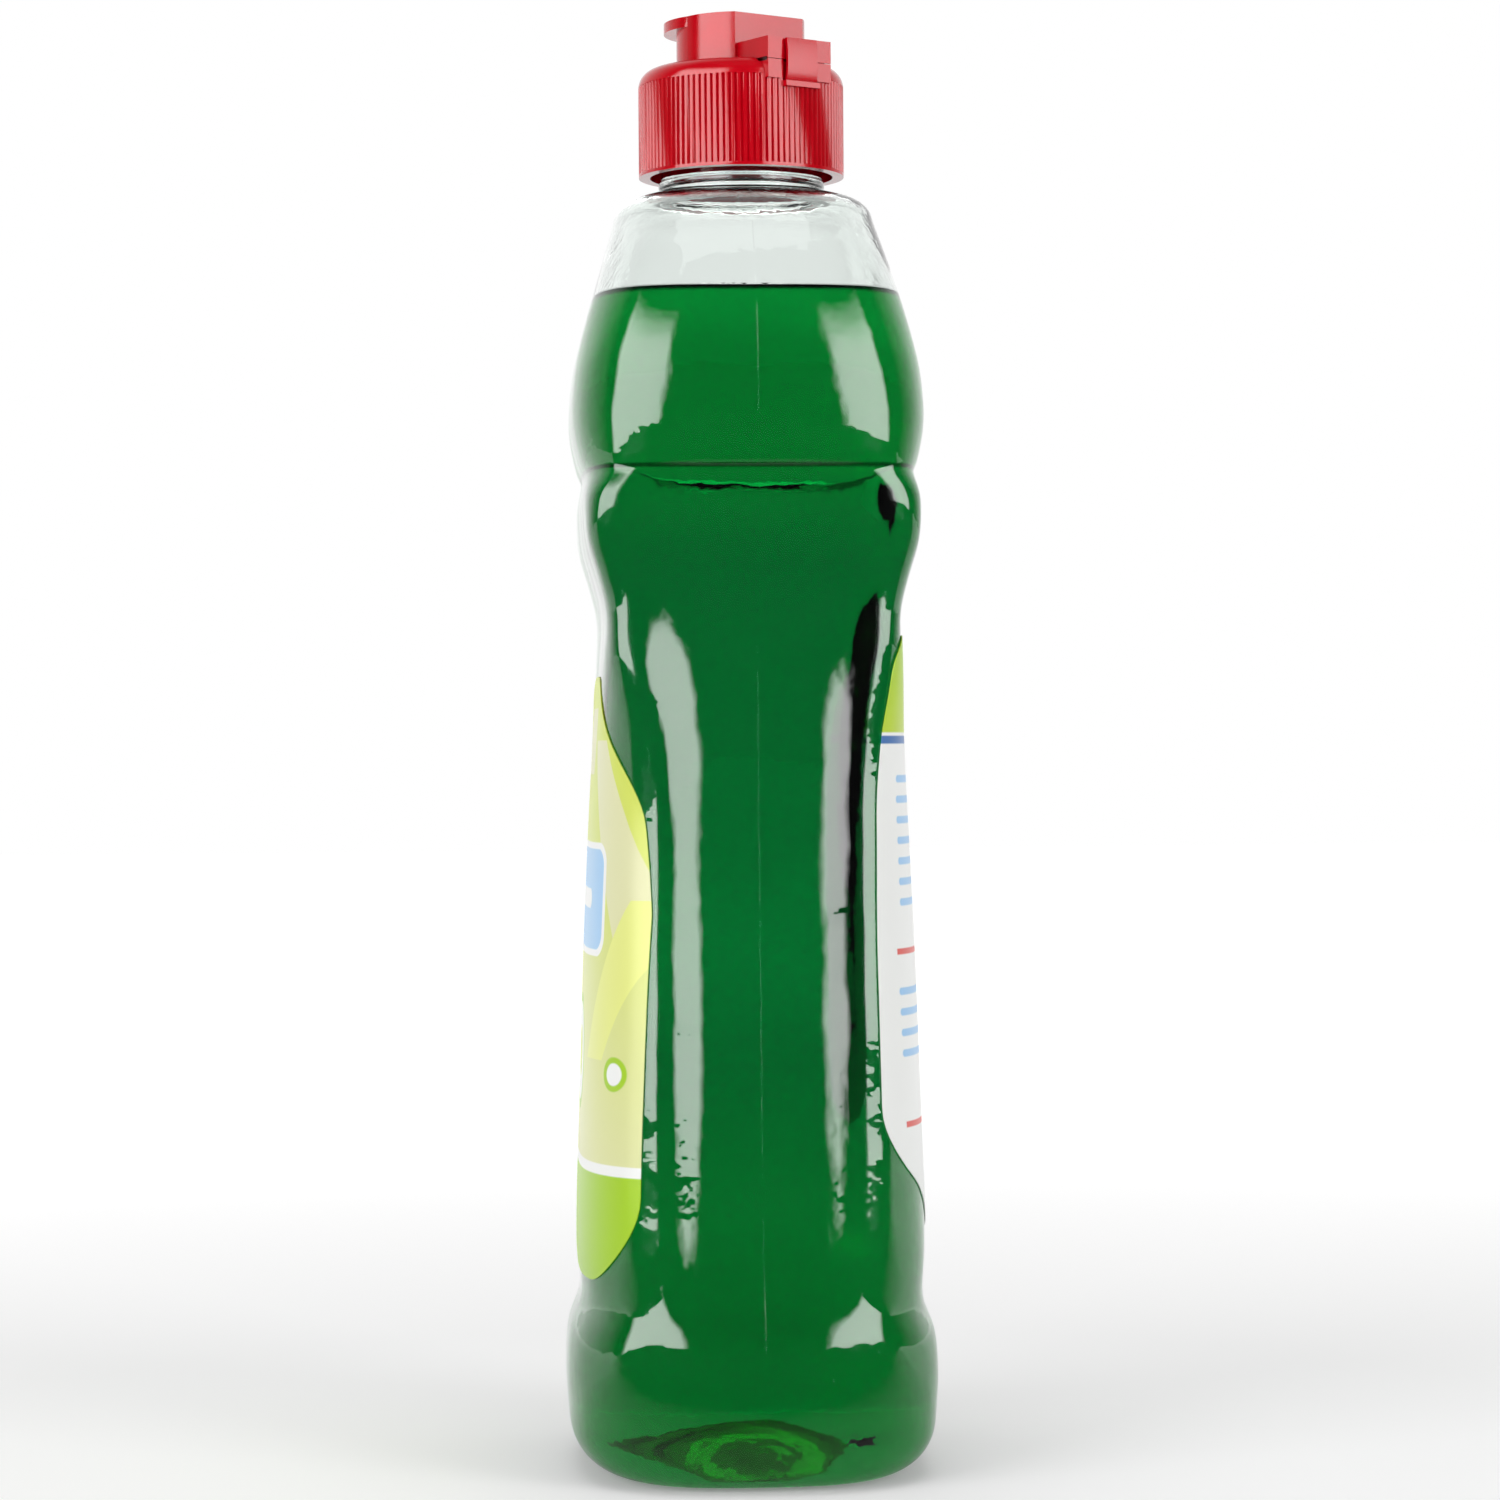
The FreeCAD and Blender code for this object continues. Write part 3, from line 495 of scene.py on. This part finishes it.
class Print:
    """Builds up a label's print, one flat shape over another, from the Object coordinates in millimetres."""

    def __init__(self, name):
        self.material, self.nodes, self.links, self.shader = new_material(name)
        place = self.nodes.new("ShaderNodeTexCoord")
        scaled = self.nodes.new("ShaderNodeVectorMath")
        scaled.operation = "SCALE"
        scaled.inputs["Scale"].default_value = 1 / MM
        self.links.new(place.outputs["Object"], scaled.inputs[0])
        axes = self.nodes.new("ShaderNodeSeparateXYZ")
        self.links.new(scaled.outputs[0], axes.inputs[0])
        self.x = axes.outputs["X"]
        self.z = axes.outputs["Z"]
        self.colour = None

    def calc(self, operation, first, second=None):
        return math_node(self.nodes, self.links, operation, first, second)

    def step(self, value, edge, softness=0.12):
        """One past the edge and nothing before it."""
        return map_range(self.nodes, self.links, value, edge - softness, edge + softness)

    def ramp(self, value, low, high, first, second):
        return self.blend(map_range(self.nodes, self.links, value, low, high), first, second)

    def blend(self, mask, under, over):
        return mixed_colour(self.nodes, self.links, mask, under, over)

    def lay(self, mask, over):
        self.colour = self.blend(mask, self.colour, over)

    def box_mask(self, middle, half, corner=0.0, slant=0.0):
        """A box, or one with rounded corners, or one leant over by a slant."""
        across = self.calc("SUBTRACT", self.x, middle[0])
        if slant:
            rise = self.calc("SUBTRACT", self.z, middle[1])
            across = self.calc("SUBTRACT", across, self.calc("MULTIPLY", rise, slant))
        across = self.calc("ABSOLUTE", across)
        over_x = self.calc("MAXIMUM", self.calc("SUBTRACT", across, half[0] - corner), 0.0)
        up = self.calc("ABSOLUTE", self.calc("SUBTRACT", self.z, middle[1]))
        over_z = self.calc("MAXIMUM", self.calc("SUBTRACT", up, half[1] - corner), 0.0)
        squares = self.calc("ADD", self.calc("POWER", over_x, 2.0), self.calc("POWER", over_z, 2.0))
        off = self.calc("SQRT", squares)
        return self.calc("SUBTRACT", 1.0, self.step(off, corner + 0.1, 0.1))

    def disc_mask(self, middle, radius):
        across = self.calc("POWER", self.calc("SUBTRACT", self.x, middle[0]), 2.0)
        up = self.calc("POWER", self.calc("SUBTRACT", self.z, middle[1]), 2.0)
        off = self.calc("SQRT", self.calc("ADD", across, up))
        return self.calc("SUBTRACT", 1.0, self.step(off, radius))

    def done(self, roughness):
        """The finished film: uneven, and with a painted glow for rays from inside, in place of the light that
        shines through it.
        """
        uneven = waviness(self.nodes, 90.0, 2200.0, 0.3)
        bump = add_node(self.nodes, "ShaderNodeBump", Strength=0.1, Distance=0.0002)
        self.links.new(uneven.outputs[0], bump.inputs["Height"])
        self.links.new(bump.outputs[0], self.shader.inputs["Normal"])
        self.links.new(self.colour, self.shader.inputs["Base Color"])
        # Painted light: the print glows in its own colour to rays that came through the bottle
        self.links.new(self.colour, self.shader.inputs["Emission Color"])
        rays = self.nodes.new("ShaderNodeLightPath")
        from_inside = self.calc("MINIMUM", rays.outputs["Transmission Depth"], 1.0)
        self.links.new(self.calc("MULTIPLY", from_inside, FILM_PAINTED_GLOW), self.shader.inputs["Emission Strength"])
        low, high = roughness - 0.05, roughness + 0.05
        rough = map_range(self.nodes, self.links, uneven.outputs[0], 0.0, 1.0, low, high)
        self.links.new(rough, self.shader.inputs["Roughness"])
        return self.material


CREAM = (0.74, 0.74, 0.43)
LIME = (0.62, 0.72, 0.05)
LEAF = (0.36, 0.60, 0.01)
PALE_BLUE = (0.33, 0.58, 0.86)
DEEP_BLUE = (0.05, 0.16, 0.42)
WHITE = (0.88, 0.89, 0.87)
CORAL = (0.72, 0.10, 0.08)


def front_print():
    """The front label: a cream to lime ground with slanted facets, a blue panel, dots and a lime foot."""
    label = Print("front_film")
    label.colour = label.ramp(label.z, 34.0, 118.0, CREAM, LIME)
    for middle, half, slant, colour in (
        ((-24.0, 100.0), (5.0, 14.0), 0.45, CREAM),
        ((23.0, 96.0), (4.5, 16.0), -0.4, CREAM),
        ((24.5, 76.0), (4.0, 12.0), 0.55, (0.78, 0.82, 0.25)),
        ((-25.0, 70.0), (4.0, 13.0), -0.5, (0.78, 0.82, 0.25)),
        ((0.0, 112.0), (9.0, 5.0), 0.3, CREAM),
    ):
        label.lay(label.box_mask(middle, half, slant=slant), colour)
    label.lay(label.box_mask((0.0, 88.0), (21.0, 8.5), corner=3.0), WHITE)
    label.lay(label.box_mask((0.0, 88.0), (20.0, 7.5), corner=2.5), PALE_BLUE)
    label.lay(label.box_mask((0.0, 88.0), (13.0, 1.4), corner=1.4), WHITE)
    for side in (-1, 1):
        label.lay(label.disc_mask((side * 25.5, 62.0), 2.6), LEAF)
        label.lay(label.disc_mask((side * 25.5, 62.0), 1.7), WHITE)
    label.lay(label.disc_mask((0.0, 64.0), 9.0), LEAF)
    label.lay(label.disc_mask((0.0, 64.0), 7.6), WHITE)
    label.lay(label.disc_mask((0.0, 64.0), 4.0), LIME)
    foot = label.calc("SUBTRACT", 1.0, label.step(label.z, 47.0))
    label.lay(foot, LEAF)
    label.lay(label.box_mask((0.0, 47.6), (60.0, 0.7)), WHITE)
    return label.done(0.32)


def back_print():
    """The back label: white, with a lime head, short blue bars and a coral rule."""
    label = Print("back_film")
    ground = label.ramp(label.z, 100.0, 128.0, LIME, LEAF)
    label.colour = label.blend(label.step(label.z, 113.0), WHITE, ground)
    label.lay(label.box_mask((0.0, 111.9), (60.0, 0.5)), DEEP_BLUE)
    for row in range(7):
        height = 106.0 - row * 3.1
        half = (23.0, 20.0, 24.0, 17.0, 22.0, 24.0, 14.0)[row]
        label.lay(label.box_mask((24.5 - half, height), (half, 0.45), corner=0.4), PALE_BLUE)
    label.lay(label.box_mask((0.0, 80.0), (26.0, 0.35)), CORAL)
    for row in range(4):
        half = (12.0, 9.0, 13.0, 7.0)[row]
        label.lay(label.box_mask((26.0 - half, 74.0 - row * 3.1), (half, 0.45), corner=0.4), PALE_BLUE)
    label.lay(label.disc_mask((-12.0, 66.0), 7.0), CREAM)
    label.lay(label.disc_mask((-12.0, 66.0), 4.5), LIME)
    label.lay(label.box_mask((0.0, 54.0), (26.0, 0.35)), CORAL)
    return label.done(0.36)


clear = clear_plastic("clear_plastic", PLASTIC_INDEX)
wetted = clear_plastic("wetted_plastic", PLASTIC_INDEX / LIQUID_INDEX)
green = detergent("detergent", 1.0, True)
green_top = detergent("detergent_top", LIQUID_INDEX, False)
red = red_plastic()
foam = liner_foam()
front_ink = front_print()
back_ink = back_print()


# Bottle: one closed shell, from the hollow of the base up the outside, over the rim and down the inside

# The neck's radii, each with its height above the shoulder's top, in millimetres
NECK_PROFILE = [
    (13.45, 0.15), (12.75, 0.85), (12.56, 1.02), (12.6, 1.12), (12.85, 1.27), (12.95, 1.4), (12.95, 2.1),
    (12.85, 2.22), (12.6, 2.36), (12.55, 2.5), (12.55, 4.5), (12.55, 8.0), (12.55, 12.0), (12.55, 16.0),
    (12.55, 17.1), (12.5, 17.3), (12.3, 17.4), (11.8, 17.4), (11.15, 17.4), (10.95, 17.3), (10.9, 17.1),
    (10.9, 13.0), (10.9, 8.0), (10.9, 3.0), (10.9, 0.2), (11.0, -0.15), (11.3, -0.4),
]
outer = dome_rings(0.0) + heel_rings(0.0) + body_rings(0.0) + crown_rings(0.0)
neck = [circle(radius, SHOULDER_TOP + height) for radius, height in NECK_PROFILE]
inner = dome_rings(WALL) + heel_rings(WALL) + body_rings(WALL) + crown_rings(WALL)
bottle = finished("bottle_shell", lofted(outer + neck + inner[::-1]), "bottle", clear)
second_material(bottle, wetted, len(outer) + len(neck), LIQUID_LEVEL)
subdivided(bottle)
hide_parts("bottle")

# Liquid: fills the shell up to its level, and creeps up the wall a little
surface = [
    ring(section_of(LIQUID_LEVEL), LIQUID_INSET + drawn_in, LIQUID_LEVEL + climb)
    for drawn_in, climb in (
        (0.0, -0.4), (0.02, 0.0), (0.25, -0.25), (0.9, -0.6), (2.0, -0.85), (4.0, -1.0), (10.0, -1.0),
    )
]
fill = dome_rings(LIQUID_INSET) + heel_rings(LIQUID_INSET)
fill += body_rings(LIQUID_INSET, LIQUID_LEVEL - 0.8) + surface
liquid = finished("detergent_fill", lofted(fill), "bottle", green)
second_material(liquid, green_top, len(fill) - len(surface) + 1, LIQUID_LEVEL + 1)
subdivided(liquid)
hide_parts("liquid")


# Labels: a grid in the label's outline, laid on the bottle

def rounded_outline(corners, radii):
    """The label's right-hand edge from the top middle to the foot middle, with rounded corners."""
    path = [Vector(corner) for corner in corners]
    path = [Vector((0.0, path[0].y))] + path + [Vector((0.0, path[-1].y))]
    points = [path[0]]
    for index, radius in enumerate(radii, start=1):
        corner = path[index]
        before = (path[index - 1] - corner).normalized()
        after = (path[index + 1] - corner).normalized()
        half = before.angle(after) / 2
        centre = corner + (before + after).normalized() * (radius / math.sin(half))
        start = corner + before * (radius / math.tan(half)) - centre
        end = corner + after * (radius / math.tan(half)) - centre
        turn = math.atan2(start.cross(end), start.dot(end))
        steps = max(4, round(abs(turn) * radius / 1.5))
        points += [centre + Matrix.Rotation(turn * step / steps, 2) @ start for step in range(steps + 1)]
    return points


def even_rows(points, spacing):
    """Points along the path at even spacing, leaving out its first and last flat stretch."""
    rows = [points[1]]
    for start, end in zip(points[1:], points[2:]):
        count = max(1, round((end - start).length / spacing))
        rows += [start.lerp(end, (step + 1) / count) for step in range(count)]
    return rows


LABEL_START = 14.2
EDGE_MARGIN = 0.1


def widest(height, facing, proud):
    """How far the label can reach across the bottle before the narrow side's hollow."""
    section = section_of(height)
    angle = math.pi / 2
    while reach(section, -proud, facing * angle) * math.sin(angle) > LABEL_START:
        angle -= math.radians(0.25)
    return reach(section, -proud, facing * angle) * math.cos(angle) - EDGE_MARGIN


def on_bottle(x, height, facing, proud):
    """The place on the bottle's wide side at a distance from the middle plane, standing proud of it."""
    section = section_of(height)
    step = math.radians(1.0)
    high = math.pi / 2
    while high > step and reach(section, -proud, facing * (high - step)) * math.cos(high - step) < abs(x):
        high -= step
        if reach(section, -proud, facing * high) * math.sin(high) < LABEL_START:
            break
    low = high - step
    for _ in range(20):
        angle = (low + high) / 2
        if reach(section, -proud, facing * angle) * math.cos(angle) > abs(x):
            low = angle
        else:
            high = angle
    radius = reach(section, -proud, facing * angle)
    return Vector((math.copysign(radius * math.cos(angle), x), facing * radius * math.sin(angle), height)) * MM


LABEL_COLUMNS = 56
LABEL_ROW = 1.6
FILM_GAP = 0.02
FILM = 0.15


def film_label(name, corners, radii, facing, material, node):
    """A printed film, as thick as the solid one, that follows the bottle."""
    rows = even_rows(rounded_outline(corners, radii), LABEL_ROW)
    edges = [min(row.x, widest(row.y, facing, FILM_GAP)) for row in rows]
    mesh = bmesh.new()
    grid = bmesh.ops.create_grid(mesh, x_segments=LABEL_COLUMNS, y_segments=len(rows) - 1, size=1.0)["verts"]
    for vert in grid:
        column = round((vert.co.x + 1) / 2 * LABEL_COLUMNS)
        row = round((vert.co.y + 1) / 2 * (len(rows) - 1))
        share = 2 * column / LABEL_COLUMNS - 1
        height = rows[row].y
        vert.co = on_bottle(edges[row] * share, height, facing, FILM_GAP)
    bmesh.ops.recalc_face_normals(mesh, faces=mesh.faces)
    if sum(face.normal.y for face in mesh.faces) * facing < 0:
        bmesh.ops.reverse_faces(mesh, faces=mesh.faces)
    bmesh.ops.solidify(mesh, geom=mesh.faces, thickness=-FILM * MM)
    label = finished(name, mesh, "bottle", material, smooth_angle=50)
    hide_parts(node)


film_label("front_print_film", [(13.4, 122.0), (27.8, 106.0), (29.4, 86.0), (31.0, 30.5)], [20, 20, 20, 13], -1,
           front_ink, "front_label")
film_label("back_print_film", [(27.4, 127.7), (29.1, 88.0), (30.6, 50.0), (9.6, 36.5)], [6, 60, 12, 12], 1,
           back_ink, "back_label")


# Closure: the moulded pieces keep their solid shapes, with their edges softened

def softened(node, name, body, material, width):
    """A copy of a moulded solid with its edges rounded, in place of it."""
    mesh = bmesh.new()
    mesh.from_mesh(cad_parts[node].data)
    bmesh.ops.remove_doubles(mesh, verts=mesh.verts, dist=0.000002)
    bmesh.ops.dissolve_limit(mesh, angle_limit=math.radians(0.6), verts=mesh.verts, edges=mesh.edges)
    piece = finished(name, mesh, body, material, smooth_angle=28)
    rounding = piece.modifiers.new("soft_edges", "BEVEL")
    rounding.width = width * MM
    rounding.segments = 2
    rounding.limit_method = "ANGLE"
    rounding.angle_limit = math.radians(35)
    rounding.harden_normals = True
    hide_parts(node)


softened("cap", "ribbed_cap", "cap", red, 0.08)
softened("lid", "flip_lid", "lid", red, 0.18)
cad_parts["sealing_liner"].data.materials.clear()
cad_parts["sealing_liner"].data.materials.append(foam)


# The strap's sizes and place in millimetres, measured from the cap's foot and axis
STRAP_INNER = 15.9
STRAP_THICKNESS = 0.5
STRAP_BOW = 0.3
STRAP_HALF_WIDTH = 2.8
STRAP_TAIL = 3.3
HINGE_HEIGHT = 16.2


def hinge_strap():
    """The sprung strap beside the film hinge, which bends between the cap and the lid."""
    mesh = bmesh.new()
    bmesh.ops.create_grid(mesh, x_segments=6, y_segments=24, size=1.0)
    for vert in mesh.verts:
        height = vert.co.y
        out = STRAP_INNER + STRAP_THICKNESS + STRAP_BOW * (1 - height ** 2)
        vert.co = Vector((out, vert.co.x * STRAP_HALF_WIDTH, HINGE_HEIGHT + STRAP_TAIL * height)) * MM
    bmesh.ops.recalc_face_normals(mesh, faces=mesh.faces)
    if sum(face.normal.x for face in mesh.faces) < 0:
        bmesh.ops.reverse_faces(mesh, faces=mesh.faces)
    bmesh.ops.solidify(mesh, geom=mesh.faces, thickness=STRAP_THICKNESS * MM)
    turn = Matrix.Translation((0, 0, CAP_FOOT * MM)) @ Matrix.Rotation(HINGE_TURN, 4, "Z")
    bmesh.ops.transform(mesh, matrix=turn, verts=mesh.verts)
    strap = finished("sprung_strap", mesh, None, red, smooth_angle=40)
    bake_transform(strap)
    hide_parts("hinge_strap")


hinge_strap()


# Studio: pale floor, white backdrop, two tall softboxes, a back light and a top light

def mix_shader(nodes, links, factor, first, second):
    made = nodes.new("ShaderNodeMixShader")
    links.new(factor, made.inputs[0])
    links.new(first, made.inputs[1])
    links.new(second, made.inputs[2])
    return made.outputs[0]


def pale_floor():
    material, nodes, links, shader = new_material("pale_floor")
    shader.inputs["Base Color"].default_value = (0.86, 0.86, 0.86, 1)
    shader.inputs["Roughness"].default_value = 0.9
    shader.inputs["Specular IOR Level"].default_value = 0.0
    rays = nodes.new("ShaderNodeLightPath")
    seen = math_node(nodes, links, "MAXIMUM", rays.outputs["Is Camera Ray"], rays.outputs["Is Glossy Ray"])
    seen = math_node(nodes, links, "MAXIMUM", seen, rays.outputs["Is Transmission Ray"])
    glow = nodes.new("ShaderNodeEmission")
    glow.inputs["Color"].default_value = (1, 1, 1, 1)
    place = nodes.new("ShaderNodeTexCoord")
    off = nodes.new("ShaderNodeVectorMath")
    off.operation = "LENGTH"
    links.new(place.outputs["Object"], off.inputs[0])
    fade = map_range(nodes, links, off.outputs["Value"], 0.15, 0.9, 0.2, 0.7)
    links.new(math_node(nodes, links, "MULTIPLY", seen, fade), glow.inputs["Strength"])
    both = nodes.new("ShaderNodeAddShader")
    links.new(shader.outputs[0], both.inputs[0])
    links.new(glow.outputs[0], both.inputs[1])
    before = map_range(nodes, links, object_axes(nodes, links)["X"], -0.05, 0.1)
    mirrored = math_node(nodes, links, "MINIMUM", rays.outputs["Glossy Depth"], 1.0)
    inside = math_node(nodes, links, "MINIMUM", rays.outputs["Transmission Depth"], 1.0)
    outside = math_node(nodes, links, "SUBTRACT", 1.0, math_node(nodes, links, "MULTIPLY", inside, 0.5))
    mirrored = math_node(nodes, links, "MULTIPLY", mirrored, outside)
    dimmed = math_node(nodes, links, "MULTIPLY", mirrored, before)
    dim = nodes.new("ShaderNodeEmission")
    dim.inputs["Color"].default_value = (0.02, 0.02, 0.02, 1)
    mixed = mix_shader(nodes, links, dimmed, both.outputs[0], dim.outputs[0])
    links.new(mixed, nodes["Material Output"].inputs["Surface"])
    return material


def floor():
    mesh = bmesh.new()
    bmesh.ops.create_grid(mesh, x_segments=1, y_segments=1, size=4.0)
    data = bpy.data.meshes.new("floor")
    mesh.to_mesh(data)
    mesh.free()
    ground = bpy.data.objects.new("floor", data)
    ground.location.z = -0.0002
    bpy.context.scene.collection.objects.link(ground)
    data.materials.append(pale_floor())


# Two windows that only mirrored rays see: azimuth and half width in degrees, and radiance
WINDOWS = ((-52.0, 32.0, 7.0), (46.0, 24.0, 7.0))
WINDOW_EDGE = 4

# The room in front of the bottle, what it gains for rays from inside the bottle, and the light on dull faces
DIM_ROOM = 0.02
ROOM_GAIN = 0.4
AMBIENT = 0.42


def studio_world():
    """White behind the bottle and through it, a dim room with two bright windows in front of it."""
    world = bpy.data.worlds.new("studio")
    bpy.context.scene.world = world
    world.use_nodes = True
    nodes, links = world.node_tree.nodes, world.node_tree.links
    nodes.clear()
    rays = nodes.new("ShaderNodeLightPath")
    place = nodes.new("ShaderNodeTexCoord")
    axes = nodes.new("ShaderNodeSeparateXYZ")
    links.new(place.outputs["Generated"], axes.inputs[0])
    inside = math_node(nodes, links, "MINIMUM", rays.outputs["Transmission Depth"], 1.0)
    room = math_node(nodes, links, "ADD", math_node(nodes, links, "MULTIPLY", inside, ROOM_GAIN), DIM_ROOM)
    glare = map_range(nodes, links, axes.outputs["X"], -0.1, -0.75, room, 1.0)
    below = map_range(nodes, links, axes.outputs["Z"], 0.55, 0.75, 1.0, 0.0)
    azimuth = math_node(nodes, links, "ARCTAN2", axes.outputs["Y"], axes.outputs["X"])
    for middle, half, radiance in WINDOWS:
        off = math_node(nodes, links, "SUBTRACT", azimuth, math.radians(middle))
        off = math_node(nodes, links, "ABSOLUTE", off)
        near, far = math.radians(half - WINDOW_EDGE), math.radians(half + WINDOW_EDGE)
        window = map_range(nodes, links, off, near, far, radiance, 0.0, smooth=True)
        pane = math_node(nodes, links, "MULTIPLY", window, below)
        glare = math_node(nodes, links, "ADD", glare, pane)
    mirrors = math_node(nodes, links, "MINIMUM", rays.outputs["Glossy Depth"], 1.0)
    plain = math_node(nodes, links, "SUBTRACT", 1.0, mirrors)
    through = math_node(nodes, links, "MULTIPLY", rays.outputs["Is Transmission Ray"], plain)
    seen = math_node(nodes, links, "MAXIMUM", rays.outputs["Is Camera Ray"], through)
    mirrored = math_node(nodes, links, "MULTIPLY", mirrors, glare)
    white = math_node(nodes, links, "MAXIMUM", seen, mirrored)
    lit = math_node(nodes, links, "MINIMUM", rays.outputs["Diffuse Depth"], 1.0)
    ambient = math_node(nodes, links, "MULTIPLY", lit, AMBIENT)
    direct = math_node(nodes, links, "MULTIPLY", white, math_node(nodes, links, "SUBTRACT", 1.0, lit))
    strength = math_node(nodes, links, "ADD", direct, ambient)
    background = nodes.new("ShaderNodeBackground")
    background.inputs["Color"].default_value = (1, 1, 1, 1)
    links.new(strength, background.inputs["Strength"])
    output = nodes.new("ShaderNodeOutputWorld")
    links.new(background.outputs[0], output.inputs["Surface"])


def softbox(name, azimuth, distance, height, width, tall, radiance):
    """A soft lamp aimed at the bottle, as bright all over as the radiance."""
    lamp = bpy.data.lights.new(name, "AREA")
    lamp.shape = "RECTANGLE"
    lamp.size = width
    lamp.size_y = tall
    lamp.energy = radiance * math.pi * width * tall
    stand = bpy.data.objects.new(name, lamp)
    turn = math.radians(azimuth)
    stand.location = (distance * math.cos(turn), distance * math.sin(turn), height)
    aim = Vector((0, 0, 0.11)) - stand.location
    stand.rotation_euler = aim.to_track_quat("-Z", "Y").to_euler()
    stand.visible_camera = False
    stand.visible_glossy = False
    bpy.context.scene.collection.objects.link(stand)


floor()
studio_world()
softbox("left_softbox", -50.0, 1.0, 0.20, 0.62, 0.95, 3.6)
softbox("right_softbox", 46.0, 1.0, 0.20, 0.40, 0.95, 4.0)
softbox("back_softbox", 180.0, 1.3, 0.9, 0.9, 0.5, 1.6)
softbox("top_softbox", 0.0, 0.15, 1.3, 0.8, 0.8, 1.5)

# Camera: at the bottle's half height, a little toward the front label
CAMERA_TURN = math.radians(-4.0)
CAMERA_ROLL = math.radians(-0.4)
CAMERA_DISTANCE = 0.655
CAMERA_HEIGHT = 0.1105
PIXELS_PER_METRE = 6400.0
IMAGE_PIXELS = 1500.0
SHIFT_PIXELS = 4.7
lens = bpy.data.cameras.new("camera")
lens.sensor_width = 36.0
lens.lens = PIXELS_PER_METRE * CAMERA_DISTANCE * lens.sensor_width / IMAGE_PIXELS
lens.shift_x = SHIFT_PIXELS / IMAGE_PIXELS
camera = bpy.data.objects.new("camera", lens)
camera.location = (
    CAMERA_DISTANCE * math.cos(CAMERA_TURN),
    CAMERA_DISTANCE * math.sin(CAMERA_TURN),
    CAMERA_HEIGHT,
)
level_view = Vector((-math.cos(CAMERA_TURN), -math.sin(CAMERA_TURN), 0.0)).to_track_quat("-Z", "Y")
camera.rotation_euler = (level_view @ Quaternion((0, 0, 1), CAMERA_ROLL)).to_euler()
bpy.context.scene.collection.objects.link(camera)
bpy.context.scene.camera = camera
bpy.context.scene.view_settings.view_transform = "Standard"
